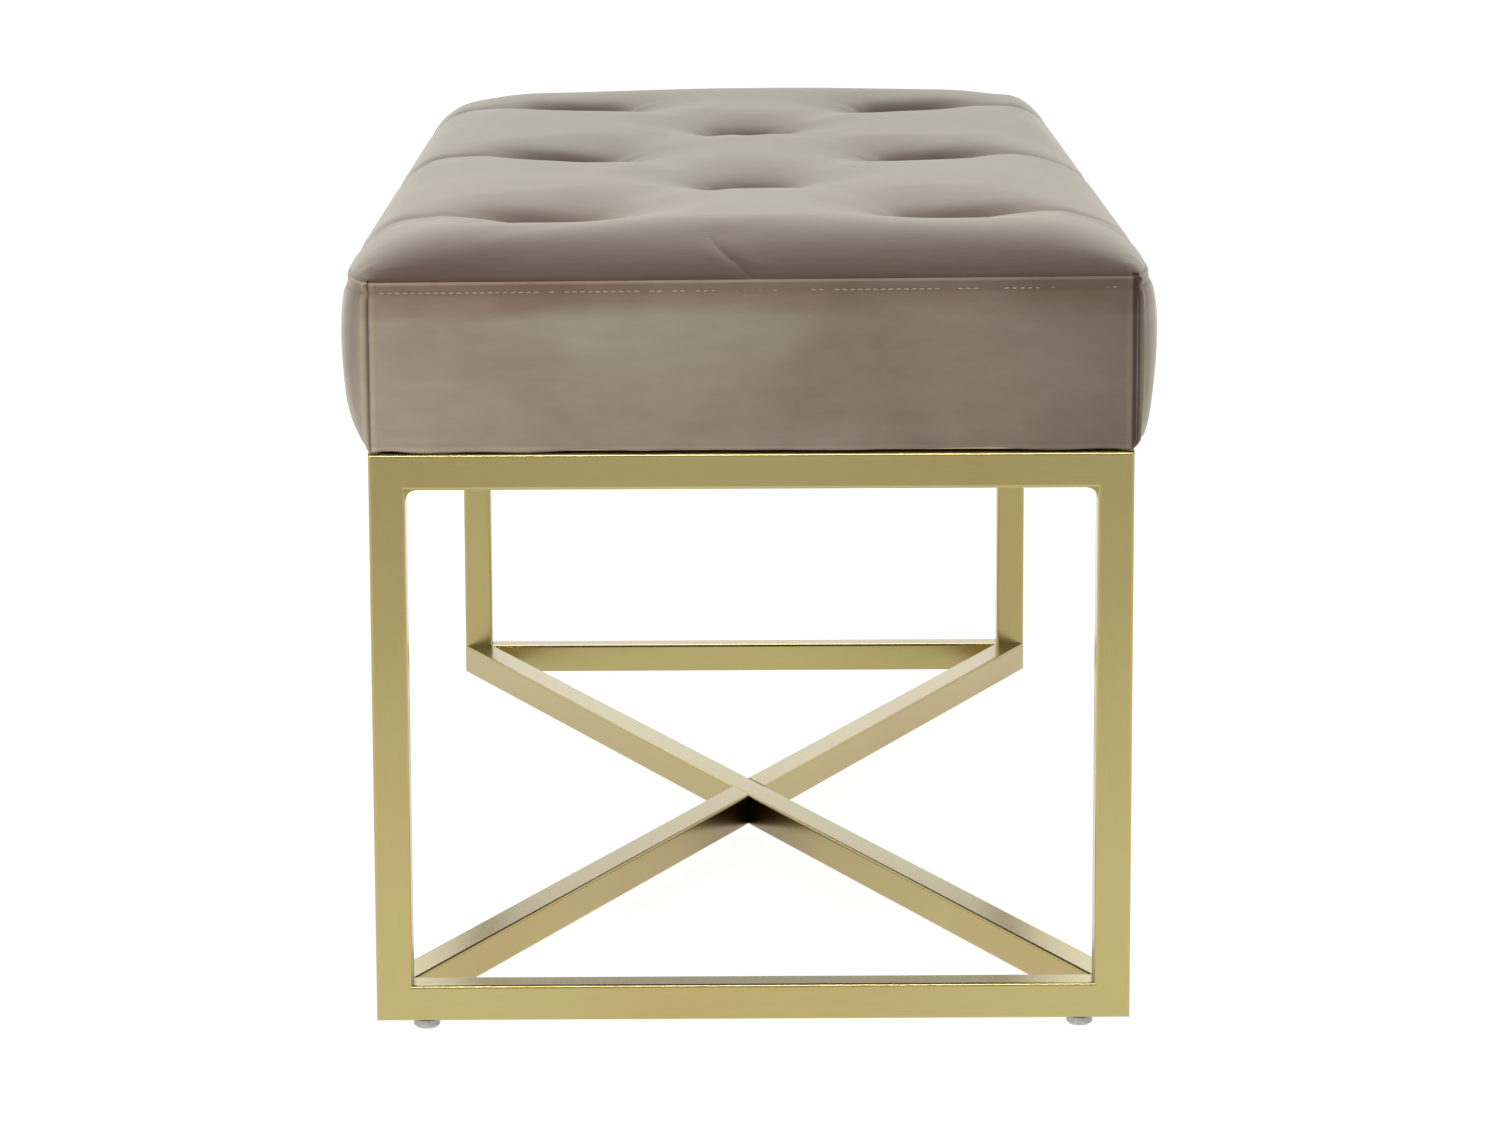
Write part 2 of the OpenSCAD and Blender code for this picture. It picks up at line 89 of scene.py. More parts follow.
# The pleats bend towards the left end on their way out
PLEAT_BEND = -14 * MM
PLEAT_RUN = 85 * MM
# One fold near the right end is pulled harder than the others
FIRM_FOLD = 1.5
# A pit's depth and width, and the funnel round it
PIT_DEPTH = 42 * MM
PIT_WIDTH = 18 * MM
FUNNEL_DEPTH = 10 * MM
FUNNEL_LENGTH = 54 * MM
FUNNEL_OFF = 10 * MM
# No pit is deeper than this
DEEPEST = 48 * MM
# The short crease in the crown at the right end: its two ends and its bow
DART_FOOT = (CORNER_X, 2 * MM)
DART_TIP = (CORNER_X - 38 * MM, -24 * MM)
DART_BOW = -5 * MM


def tuft_place(row, side):
    return row * TUFT_PITCH + TUFT_OFF.get((row, side), 0), side * TUFT_Y


PAIRS = [tuft_place(row, side) for row in PAIR_ROWS for side in (-1, 1)]
SINGLES = [tuft_place(row, 0) for row in SINGLE_ROWS]
TUFTS = PAIRS + SINGLES

# The stitch line runs this far under the top seam
STITCH_DROP = 6.5 * MM
# The cover's lower edge turns in with this radius, and its hem runs this far under the board
TURN = 2.4 * MM
HEM_RUN = 18 * MM

# Where the flat sides of the stretcher begin and end
TUBE_ROUND = 0.8 * MM
CROSS_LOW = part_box("long_diagonal")[0][2] + TUBE_ROUND
CROSS_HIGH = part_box("long_diagonal")[1][2] - TUBE_ROUND
# Painted shade darkens the stretcher's near arms over this length towards the crossing
CROSSING_SHADE_RUN = 340 * MM
# Each millimetre off those arms' sides counts as this many away from the crossing
FAR_OFF = 500.0


# Small helpers
def smooth(t):
    """A smooth step from 0 to 1 while t goes from 0 to 1."""
    t = np.clip(t, 0, 1)
    return t * t * (3 - 2 * t)


def bell(d, w):
    """1 in the middle, fading over the width w."""
    return np.exp(-(d / w) ** 2)


def crease(d, w, sharp):
    """A valley across d: a smooth bell with a sharp line at its bottom."""
    return (1 - sharp) * bell(d, w) + sharp * np.exp(-np.abs(d) / (0.35 * w))


def soft_max(parts, k=260.0):
    """The largest of some depths, blended where they are alike; a higher k blends less."""
    return np.log(sum(np.exp(k * p) for p in parts) - (len(parts) - 1)) / k


def waves(x, y, seed, scale, count=7):
    """Smooth seeded ripples about 1 high, for uneven cloth."""
    rng = np.random.default_rng(seed)
    total = np.zeros_like(x)
    for _ in range(count):
        a = rng.uniform(0, math.tau)
        f = rng.uniform(0.6, 1.6) / scale
        total += np.sin(math.tau * f * (x * math.cos(a) + y * math.sin(a)) + rng.uniform(0, math.tau))
    return total / math.sqrt(count)


# Outline of the cushion
def near_corner(a, full, power):
    """1 along a side, falling to 0 at its corners; a higher power keeps it at 1 for longer."""
    return 1 - np.minimum(1, np.abs(a) / full) ** power


def pull_in(x):
    """Where the pleats pull the side seam in, from 0 to 1."""
    return sum(bell(x - k * TUFT_PITCH, PULL_WIDTH) for k in PAIR_ROWS)


def swell(u, side):
    """How far a long side stands out at the share u of the boxing's height."""
    most, seam = (np.where(side < 0, front, back) for front, back in zip(FRONT_SWELL, BACK_SWELL))
    low = (1 - (1 - np.clip(u / WIDEST, 0, 1)) ** 2) ** np.where(side < 0, 0.46, 0.54)
    high = (1 - seam / most) * np.clip((u - WIDEST) / (1 - WIDEST), 0, 1) ** 2.4
    return most * (low - high)


def extra(u, side):
    """How far the back side's corner seams stand out past the front's."""
    return np.where(side < 0, 0.0, BACK_EXTRA) * smooth(u / 0.06)


def side_y(x, u, side):
    """Half width at x, at the share u of the boxing's height, on the side -1 or 1."""
    round_off = near_corner(x, CORNER_X, 36 - 14 * u ** 4)
    return CORNER_Y + extra(u, side) + swell(u, side) * round_off - SEAM_PULL * u ** 3 * pull_in(x)


def end_x(y, u):
    """Half length at y, at the share u of the boxing's height."""
    return CORNER_X + END_SWELL * 4 * u * (1 - u) * near_corner(y, CORNER_Y, 16)


def tilt(y):
    """How far the top and its seam lie below their level, most at the front."""
    return TILT * (0.5 - y / (2 * HALF_WIDTH))


# Height of the tufted top
def rise(d):
    """The crown's height at the distance d from a seam, from 0 to 1."""
    t = np.clip(d / CROWN_RUN, 0, 1)
    return (1 - (1 - t) ** 2.4) ** 0.62


def segment(x, y, a, b, bow):
    """Distance from a bowed line between a and b, the place along it from 0 to 1, and its length."""
    ax, ay = a
    dx, dy = b[0] - ax, b[1] - ay
    length = math.hypot(dx, dy)
    t = ((x - ax) * dx + (y - ay) * dy) / length ** 2
    off = ((x - ax) * dy - (y - ay) * dx) / length - bow * 4 * np.clip(t, 0, 1) * (1 - np.clip(t, 0, 1))
    past = np.where(t < 0, -t, np.where(t > 1, t - 1, 0)) * length
    return np.hypot(off, past), np.clip(t, 0, 1), length


def bent(out):
    """How far a pleat has bent at the distance out from its tuft."""
    return PLEAT_BEND * np.clip(out / PLEAT_RUN, 0, 1)


def tuft_depths(x, y):
    """Depths of the pits, the pleats to the side seams and the folds between tufts."""
    rng = np.random.default_rng(11)
    parts, funnels = [], []
    for tx, ty in TUFTS:
        # An outer tuft's pit is a slot that runs out towards its pleat, steepest on its right-hand wall
        past = (y - ty) * np.sign(ty)
        across = (x - tx - bent(past)) * np.where(x > tx, 1.25, 1.0)
        if ty:
            aside = np.where(past > 0, past * 0.43, past * 1.9)
            wide = np.where(past > 0, 66 * MM, 40 * MM)
        else:
            aside = (y - ty) * 0.9
            wide = 44 * MM
        r = np.hypot(across, aside)
        deep = rng.uniform(0.94, 1.06)
        parts.append(PIT_DEPTH * deep * np.exp(-(r / PIT_WIDTH) ** 1.8))
        away = np.hypot((x - tx - FUNNEL_OFF) / FUNNEL_LENGTH, (y - ty) / wide)
        funnels.append(FUNNEL_DEPTH * bell(away, 1.0))
    for tx, ty in PAIRS:
        side = math.copysign(1, ty)
        out = (y - ty) * side
        bend = rng.uniform(-3, 3) * MM
        d = x - tx - bent(out) - bend * smooth(out / (110 * MM))
        depth = 2.0 * MM + 5.5 * MM * np.exp(-(np.maximum(out, 0) / (60 * MM)) ** 2)
        wide = 7 * MM + 12 * MM * np.exp(-np.maximum(out, 0) / (45 * MM))
        fade = np.where(out < 0, bell(out, 10 * MM), 1.0)
        parts.append(depth * fade * crease(d, wide, 0.4))
    for cx, cy in SINGLES:
        for tx, ty in PAIRS:
            if abs(tx - cx) < 1.5 * TUFT_PITCH:
                firm = FIRM_FOLD if (tx > cx and ty < 0 and cx > 0) else 1.0
                bow = rng.uniform(-7, 7) * MM
                d, t, length = segment(x, y, (cx, cy), (tx, ty), bow)
                near = np.minimum(t, 1 - t) * length
                depth = 2.0 * MM + 9 * MM * firm * np.exp(-near / (15 * MM * firm))
                wide = 34 * MM - 16 * MM * np.exp(-near / (30 * MM))
                sharp = 0.35 * np.exp(-(1 - t) * length / (26 * MM * firm))
                parts.append(depth * crease(d, wide, sharp))
    return DEEPEST * np.tanh((soft_max(parts) + soft_max(funnels)) / DEEPEST)


def wrinkles(x, y):
    """Small puckers that run out from each tuft."""
    rng = np.random.default_rng(17)
    total = 0.0
    for tx, ty in TUFTS:
        r, a = np.hypot(x - tx, y - ty), np.arctan2(y - ty, x - tx)
        n1, n2 = rng.integers(5, 8), rng.integers(9, 13)
        wave = np.sin(n1 * a + rng.uniform(0, 6)) + 0.7 * np.sin(n2 * a + rng.uniform(0, 6))
        total = total + 0.25 * MM * wave * bell(r - 27 * MM, 14 * MM)
    return total


def dart(x, y):
    """The short crease that runs up the crown from the middle of the right end's seam."""
    d, t, _ = segment(x, y, DART_FOOT, DART_TIP, DART_BOW)
    line = 1.2 * MM * np.exp(-d / (1.1 * MM)) * (1 - t) ** 0.4
    return line + 1.8 * MM * bell(d, 4.5 * MM) * (1 - t) ** 1.5


def top_z(x, y, dx, dy):
    """Height at (x, y), with the distances dx and dy to the end and side seams."""
    rx, ry = rise(dx), rise(dy)
    r = rx * ry / np.maximum(rx + ry - rx * ry, 1e-6)
    uneven = 0.6 * MM * waves(x, y, 5, 0.30) + 0.12 * MM * waves(x * 0.6, y, 6, 0.09) + wrinkles(x, y)
    dome = DOME * bell(y, 150 * MM) * smooth((-x - 300 * MM) / (200 * MM))
    front = (smooth((CORNER_X - 60 * MM - x) / (160 * MM))
             * (0.3 + 0.7 * smooth((x + CORNER_X) / (220 * MM))))
    fuller = np.where(y < 0, front, smooth((-60 * MM - x) / (200 * MM)))
    shoulder = SHOULDER * fuller * bell(dy - 20 * MM, 16 * MM) * smooth(dy / (8 * MM)) * rx
    to_seam = np.minimum(dx, dy)
    hold = smooth(to_seam / (30 * MM))
    edge = smooth(to_seam / (9 * MM))
    seam_pucker = 0.35 * MM * waves(x, y, 8, 0.016) * bell(to_seam, 9 * MM)
    stuffed = CROWN_H * r + shoulder + (uneven + dome) * hold + seam_pucker * edge
    pressed = 0.6 * dart(x, y) + tuft_depths(x, y) * (0.25 + 0.75 * hold) * edge
    return SEAM_Z - tilt(y) + stuffed - pressed


# Grid lines: close together at the seams, and finer over the dart
def lines(half, step, fine=()):
    """Places from -half to half, about one step apart, closer near both ends and where fine says."""
    edge = np.array([0, 0.6, 1.3, 2.2, 3.4, 5.0, 7.2]) * MM
    inner = half - edge[-1]
    places = [-inner]
    while places[-1] < inner:
        here = places[-1]
        close = any(low < here < high for low, high in fine)
        places.append(here + (step / 2.4 if close else step))
    middle = np.array(places)
    middle = -inner + (middle + inner) * 2 * inner / (middle[-1] + inner)
    return np.concatenate([-half + edge[:-1], middle, (half - edge[:-1])[::-1]])


# Rows of the boxing, as depth below the top seam, and how far each stands out
ROWS = np.array([0, 0.5, 1.1, 1.9, 3.0, 4.3, 5.4, 6.0, 6.5, 7.0, 7.7, 9, 11.5, 15, 19, 24, 30, 36, 42, 48, 54,
                 60, 66, 72, 78, 84, 89, 93, 96.5, 99, 101, 102.6, 103.8, 104.6, 105]) * MM


def stand_out(v):
    """How far a boxing stands out: a fold at the seam, a band pressed flat, and the turned lower edge."""
    band = -1.0 * MM * smooth((v - 1.6 * MM) / (4.5 * MM)) * (1 - smooth((v - 6.6 * MM) / (5 * MM)))
    seam = -1.1 * MM * bell(v, 0.5 * MM) + 0.7 * MM * bell(v - 1.2 * MM, 0.6 * MM)
    stitch = -0.5 * MM * bell(v - STITCH_DROP, 0.6 * MM)
    low = np.clip((v - (BOX_H - TURN)) / TURN, 0, 1)
    return band + seam + stitch - TURN * (1 - np.sqrt(np.maximum(0, 1 - low ** 2)))


def make_mesh(name, points, faces):
    mesh = bpy.data.meshes.new(name)
    mesh.from_pydata([tuple(p) for p in points], [], faces)
    mesh.validate()
    mesh.update()
    mesh.polygons.foreach_set("use_smooth", [True] * len(mesh.polygons))
    obj = bpy.data.objects.new(name, mesh)
    bpy.context.scene.collection.objects.link(obj)
    return obj


def grid_faces(rows, cols):
    return [(p, p + 1, p + cols + 1, p + cols)
            for j in range(rows - 1) for p in range(j * cols, (j + 1) * cols - 1)]


def band_faces(start, count):
    """Faces between two rings of count points, the first from start and the next right after it."""
    for k in range(count):
        m = (k + 1) % count
        yield start + k, start + m, start + count + m, start + count + k


# Cloth: the velvet panel is blown up softly between its tufts and its seam
def settle(xs, ys, px, py, pz):
    """The panel's points after a short cloth simulation on a coarser grid of its lines."""
    ci, cj = (np.unique(np.append(np.arange(0, len(line), CLOTH_STEP), len(line) - 1)) for line in (xs, ys))
    rest = np.stack([a[np.ix_(cj, ci)] for a in (px, py, pz)], -1)
    rows, cols = rest.shape[:2]
    panel = make_mesh("panel_cloth", rest.reshape(-1, 3), grid_faces(rows, cols))
    x, y = rest[..., 0], rest[..., 1]
    held = sum(bell(np.hypot(x - tx, y - ty), CLOTH_HELD) for tx, ty in TUFTS)
    held[[0, -1], :] = 1
    held[:, [0, -1]] = 1
    group = panel.vertex_groups.new(name="held")
    for k, weight in enumerate(held.ravel()):
        group.add([k], float(min(1, weight)), "REPLACE")
    cloth = panel.modifiers.new("cloth", "CLOTH")
    settings = cloth.settings
    settings.quality = 6
    settings.mass = 0.25
    settings.tension_stiffness = settings.compression_stiffness = 20
    settings.shear_stiffness = 8
    settings.bending_stiffness = 4
    settings.use_pressure = True
    settings.uniform_pressure_force = CLOTH_PRESSURE
    settings.vertex_group_mass = "held"
    settings.effector_weights.gravity = 0
    cloth.point_cache.frame_end = CLOTH_FRAMES
    scene = bpy.context.scene
    for step in range(1, CLOTH_FRAMES + 1):
        scene.frame_set(step)
    shaped = panel.evaluated_get(bpy.context.evaluated_depsgraph_get()).data
    moved = np.empty(rows * cols * 3)
    shaped.vertices.foreach_get("co", moved)
    shift = moved.reshape(rows, cols, 3) - rest
    far = np.linalg.norm(shift, axis=-1, keepdims=True)
    print("cloth moved the panel by up to %.2f mm" % (far.max() / MM))
    shift = shift * np.minimum(1, CLOTH_CAP / np.maximum(far, 1e-9))
    bpy.data.objects.remove(panel)
    scene.frame_set(1)
    full = []
    for axis in range(3):
        across = np.array([np.interp(xs, xs[ci], row) for row in shift[..., axis]])
        full.append(np.array([np.interp(ys, ys[cj], column) for column in across.T]).T)
    return px + full[0], py + full[1], pz + full[2]


def make_cushion():
    """The whole cushion as one closed mesh: tufted panel, boxing, hem and underside."""
    xs = lines(CORNER_X, GRID_STEP, [(CORNER_X - 66 * MM, CORNER_X)])
    ys = lines(CORNER_Y, GRID_STEP, [(-32 * MM, 6 * MM)])
    nx, ny = len(xs), len(ys)
    gx, gy = np.meshgrid(xs, ys)
    a, b = gx / CORNER_X, gy / CORNER_Y
    # The panel spreads to the seam's outline, most near its edge
    full_x, full_y = end_x(gy, 1.0), side_y(gx, 1.0, np.sign(gy))
    px = gx * (1 + (full_x / CORNER_X - 1) * np.abs(a) ** 6)
    py = gy * (1 + (full_y / CORNER_Y - 1) * np.abs(b) ** 6)
    pz = top_z(px, py, full_x - np.abs(px), full_y - np.abs(py))
    px = px - 0.8 * dart(px, py) * (gx > 0)
    px, py, pz = settle(xs, ys, px, py, pz)
    top = np.stack([px, py, pz], -1).reshape(-1, 3)

    # The boundary loop, anticlockwise seen from above
    loop = ([(i, 0) for i in range(nx - 1)] + [(nx - 1, j) for j in range(ny - 1)]
            + [(i, ny - 1) for i in range(nx - 1, 0, -1)] + [(0, j) for j in range(ny - 1, 0, -1)])
    li = np.array([i for i, j in loop])
    lj = np.array([j for i, j in loop])
    lx, ly = xs[li], ys[lj]
    on_end = (li == 0) | (li == nx - 1)
    on_side = (lj == 0) | (lj == ny - 1)
    along = np.where(on_side, lx, ly)
    to_corner = np.where(on_side & ~on_end, CORNER_X - np.abs(lx),
                         np.where(on_end & ~on_side, CORNER_Y - np.abs(ly), 0))
    rings = []
    for v in ROWS:
        u = 1 - v / BOX_H
        out = stand_out(v)
        low = smooth((v - 0.5 * BOX_H) / (0.5 * BOX_H))
        small = 0.8 * MM * low * np.maximum(-0.4, waves(along, ly * 0.5 + lx * 0.3 + v * 0.6, 21, 0.045))
        broad = 0.8 * MM * waves(along, v, 22, 0.16) * smooth(v / (12 * MM)) * (1 - 0.7 * low)
        pucker = small + broad
        corner = -2.0 * MM * bell(to_corner, 1.0 * MM) + 0.9 * MM * bell(to_corner - 2.8 * MM, 1.4 * MM)
        fade = smooth(to_corner / (25 * MM))
        shift = out + pucker * fade + corner * smooth(v / (3 * MM))
        x = np.where(on_end, np.sign(lx) * (end_x(ly, u) + shift), lx)
        y = np.where(on_side, np.sign(ly) * (side_y(lx, u, np.sign(ly)) + shift),
                     ly * (1 + extra(u, np.sign(ly)) / CORNER_Y * (np.abs(ly) / CORNER_Y) ** 6))
        lift = 0.9 * MM * (1 + waves(along, 0, 31, 0.09)) * smooth((v - 90 * MM) / (15 * MM))
        z = SEAM_Z - v - tilt(ly) * u + lift * smooth(to_corner / (12 * MM))
        rings.append(np.stack([x, y, z], -1))
    # The hem runs in under the board
    hem = rings[-1] * np.array([1 - HEM_RUN / CORNER_X, 1 - HEM_RUN / CORNER_Y, 1])
    hem[:, 2] = HEM_Z
    # The top's own edge is the first ring of the wall
    top[lj * nx + li] = rings[0]
    faces = grid_faces(ny, nx)
    top_faces = len(faces)
    before = (lj * nx + li).tolist()
    start, n_loop = nx * ny, len(loop)
    for _ in rings[1:] + [hem]:
        now = list(range(start, start + n_loop))
        for k in range(n_loop):
            m = (k + 1) % n_loop
            faces.append((before[m], before[k], now[k], now[m]))
        before = now
        start += n_loop
    # One flat face closes the underside
    faces.append(tuple(reversed(before)))
    cushion = make_mesh("tufted_cushion", np.concatenate([top] + rings[1:] + [hem]), faces)
    cushion.data.polygons.foreach_set("material_index", [0] * top_faces + [1] * (len(faces) - top_faces))
    return cushion


# Materials
def new_material(name):
    mat = bpy.data.materials.new(name)
    mat.use_nodes = True
    tree = mat.node_tree
    shader = tree.nodes["Principled BSDF"]
    return mat, tree, shader


def add(tree, kind, **values):
    node = tree.nodes.new(kind)
    for key, value in values.items():
        setattr(node, key, value)
    return node


def coords(tree, scale):
    """Object coordinates, stretched by scale."""
    place = add(tree, "ShaderNodeTexCoord")
    stretch = add(tree, "ShaderNodeMapping")
    stretch.inputs["Scale"].default_value = scale
    tree.links.new(place.outputs["Object"], stretch.inputs["Vector"])
    return stretch.outputs["Vector"]


def noise(tree, vector, scale, detail, rough):
    node = add(tree, "ShaderNodeTexNoise")
    node.inputs["Scale"].default_value = scale
    node.inputs["Detail"].default_value = detail
    node.inputs["Roughness"].default_value = rough
    tree.links.new(vector, node.inputs["Vector"])
    return node.outputs["Fac"]


def ramp(tree, value, stops):
    """The colour at value, from the stops (place, colour)."""
    node = add(tree, "ShaderNodeValToRGB")
    points = node.color_ramp.elements
    while len(points) < len(stops):
        points.new(0.5)
    for point, (place, colour) in zip(points, stops):
        point.position = place
        point.color = (*colour, 1)
    tree.links.new(value, node.inputs["Fac"])
    return node.outputs["Color"]


def mix(tree, factor, a, b, mode="MIX"):
    """Two colours mixed; each, and the factor, may be a value or a socket."""
    node = add(tree, "ShaderNodeMix", data_type="RGBA", blend_type=mode)
    for socket, value in (("Factor", factor), ("A", a), ("B", b)):
        target = [s for s in node.inputs if s.name == socket and (s.type == "RGBA" or socket == "Factor")][0]
        if isinstance(value, (int, float)):
            target.default_value = value
        elif isinstance(value, tuple):
            target.default_value = (*value, 1)
        else:
            tree.links.new(value, target)
    return [s for s in node.outputs if s.type == "RGBA"][0]


def bump(tree, heights, distance, strength, before=None):
    node = add(tree, "ShaderNodeBump")
    node.inputs["Distance"].default_value = distance
    node.inputs["Strength"].default_value = strength
    tree.links.new(heights, node.inputs["Height"])
    if before is not None:
        tree.links.new(before, node.inputs["Normal"])
    return node.outputs["Normal"]


def separate(tree, vector):
    node = add(tree, "ShaderNodeSeparateXYZ")
    tree.links.new(vector, node.inputs["Vector"])
    return node


def number(tree, operation, a, b=None):
    """A sum of one or two values; each may be a number or a socket."""
    node = add(tree, "ShaderNodeMath", operation=operation)
    for socket, value in zip(node.inputs, (a, b)):
        if isinstance(value, (int, float)):
            socket.default_value = value
        elif value is not None:
            tree.links.new(value, socket)
    return node.outputs["Value"]


def tinted(tree, colour, tone):
    """One colour multiplied by another."""
    return mix(tree, 1.0, colour, tone, "MULTIPLY")


def span(tree, value, low, high, to_low, to_high, curve="LINEAR"):
    """A value mapped from one range to another and held at its ends."""
    node = add(tree, "ShaderNodeMapRange", interpolation_type=curve)
    limits = {"From Min": low, "From Max": high, "To Min": to_low, "To Max": to_high}
    for socket, limit in limits.items():
        node.inputs[socket].default_value = limit
    tree.links.new(value, node.inputs["Value"])
    return node.outputs["Result"]


def below_seam(tree, place):
    """How far a point lies below the top seam, negative above it."""
    share = number(tree, "DIVIDE", place.outputs["Y"], 2 * HALF_WIDTH)
    drop = number(tree, "MULTIPLY", number(tree, "SUBTRACT", 0.5, share), TILT)
    return number(tree, "SUBTRACT", SEAM_Z, number(tree, "ADD", place.outputs["Z"], drop))


def seam_shade(tree, place, below):
    """Painted shade in the band under the top seam, in the corner seams and at the foot of the hem, and
    painted highlights on the seam's fold, on the ridge beside each corner seam and along the hem's turned
    edge.
    """
    under = span(tree, below, -4 * MM, 28 * MM, 0.0, 1.0)
    # Painted shade at the seam's groove and in the pressed band under it, with a painted highlight on the
    # fold between
    band = ramp(tree, under, [(0.0, (1, 1, 1)), (0.1175, (0.85, 0.85, 0.85)), (0.1275, (1.35, 1.32, 1.28)),
                              (0.155, (1.25, 1.22, 1.18)), (0.185, (0.74, 0.69, 0.66)),
                              (0.31, (0.76, 0.71, 0.68)), (0.42, (0.88, 0.82, 0.79)),
                              (0.58, (0.93, 0.89, 0.87)), (0.80, (1, 1, 1))])
    out_x = number(tree, "SUBTRACT", number(tree, "ABSOLUTE", place.outputs["X"]), CORNER_X - 3 * MM)
    out_y = number(tree, "SUBTRACT", number(tree, "ABSOLUTE", place.outputs["Y"]), CORNER_Y - 3 * MM)
    corner = span(tree, number(tree, "MINIMUM", out_x, out_y), -2 * MM, 3.4 * MM, 0.0, 1.0)
    # Painted shade in the corner seam's groove, with a painted highlight on the ridge beside it
    groove = ramp(tree, corner, [(0.0, (1, 1, 1)), (0.35, (1.16, 1.16, 1.13)), (0.62, (1.05, 1.05, 1.03)),
                                 (0.78, (0.45, 0.42, 0.40)), (1.0, (0.36, 0.34, 0.32))])
    # Painted shade at the foot of the hem, with a painted highlight along its turned edge
    foot = span(tree, place.outputs["Z"], HEM_Z, HEM_Z + 7 * MM, 0.0, 1.0)
    hem = ramp(tree, foot, [(0.0, (0.6, 0.6, 0.6)), (0.22, (1.2, 1.2, 1.18)), (0.42, (1.15, 1.15, 1.13)),
                            (0.6, (0.97, 0.97, 0.97)), (1.0, (1, 1, 1))])
    return tinted(tree, tinted(tree, band, groove), hem)


def velvet_material(name, deep, light, green, haze, glow, streak_scale, streak, lean, greener, hue_lean,
                    length_light_and_shade):
    """Cut-pile velvet: a deep ground, brushed patches, fine streaks of the pile and a haze at grazing
    angles. glow is how bright the haze is, lean how much lighter the front is painted than the back, as
    painted light, greener how far the patches turn green, hue_lean how much more they do so at the front
    with that painted light, and the last argument the painted light and shade along the length."""
    mat, tree, shader = new_material(name)
    plain = coords(tree, (1, 1, 1))
    streaked = coords(tree, streak_scale)
    patches = ramp(tree, noise(tree, plain, 6, 4, 0.62), [(0.38, deep), (0.62, light)])
    place = separate(tree, plain)
    # Painted light: the end panels are painted lighter and greener towards the front than towards the back;
    # it fades round their corners
    far_out = number(tree, "ABSOLUTE", place.outputs["X"])
    on_end = span(tree, far_out, CORNER_X - 12 * MM, CORNER_X - 2 * MM, 0.0, 1.0)
    share = number(tree, "DIVIDE", place.outputs["Y"], 2 * HALF_WIDTH)
    across = number(tree, "ADD", 0.5, number(tree, "MULTIPLY", on_end, share))
    drift = noise(tree, coords(tree, (1.1, 0.9, 1.3)), 4.3, 3, 0.6)
    # The strip under the top seam stays brown
    below = below_seam(tree, place)
    strip = number(tree, "MULTIPLY", span(tree, below, -1 * MM, 0.0, 0.0, 1.0),
                   span(tree, below, 10 * MM, 24 * MM, 0.3, 0.0))
    leaning = number(tree, "SUBTRACT", number(tree, "ADD", drift, greener),
                     number(tree, "ADD", number(tree, "MULTIPLY", across, hue_lean), strip))
    hue = ramp(tree, leaning, [(0.38, (0, 0, 0)), (0.60, (1, 1, 1))])
    ground = mix(tree, hue, patches, green)
    # Painted light, lighter towards the front
    front_painted_light = ramp(tree, across, [(0.0, (1 + lean,) * 3), (1.0, (1 - lean,) * 3)])
    ground = tinted(tree, ground, front_painted_light)
    # Painted light and shade along the top's length: darker towards the left end, lighter on the slope near
    # the right end and darker again at its crown
    if length_light_and_shade:
        length = span(tree, place.outputs["X"], -HALF_LENGTH, HALF_LENGTH, 0.0, 1.0)
        ground = tinted(tree, ground, ramp(tree, length, length_light_and_shade))
    ground = tinted(tree, ground, seam_shade(tree, place, below))
    fine = noise(tree, streaked, 30, 4, 0.65)
    streaks = ramp(tree, fine, [(0.3, (1 - streak,) * 3), (0.7, (1 + streak,) * 3)])
    tree.links.new(tinted(tree, ground, streaks), shader.inputs["Base Color"])
    nap = noise(tree, plain, 900, 2, 0.5)
    lay = noise(tree, streaked, 45, 3, 0.6)
    normal = bump(tree, lay, 0.25 * MM, 0.2, bump(tree, nap, 0.25 * MM, 0.3))
    tree.links.new(normal, shader.inputs["Normal"])
    shader.inputs["Roughness"].default_value = 0.9
    shader.inputs["Specular IOR Level"].default_value = 0.1
    shader.inputs["Sheen Weight"].default_value = 1.0
    shader.inputs["Sheen Roughness"].default_value = haze
    shader.inputs["Sheen Tint"].default_value = (glow, 0.98 * glow, 0.865 * glow, 1)
    return mat


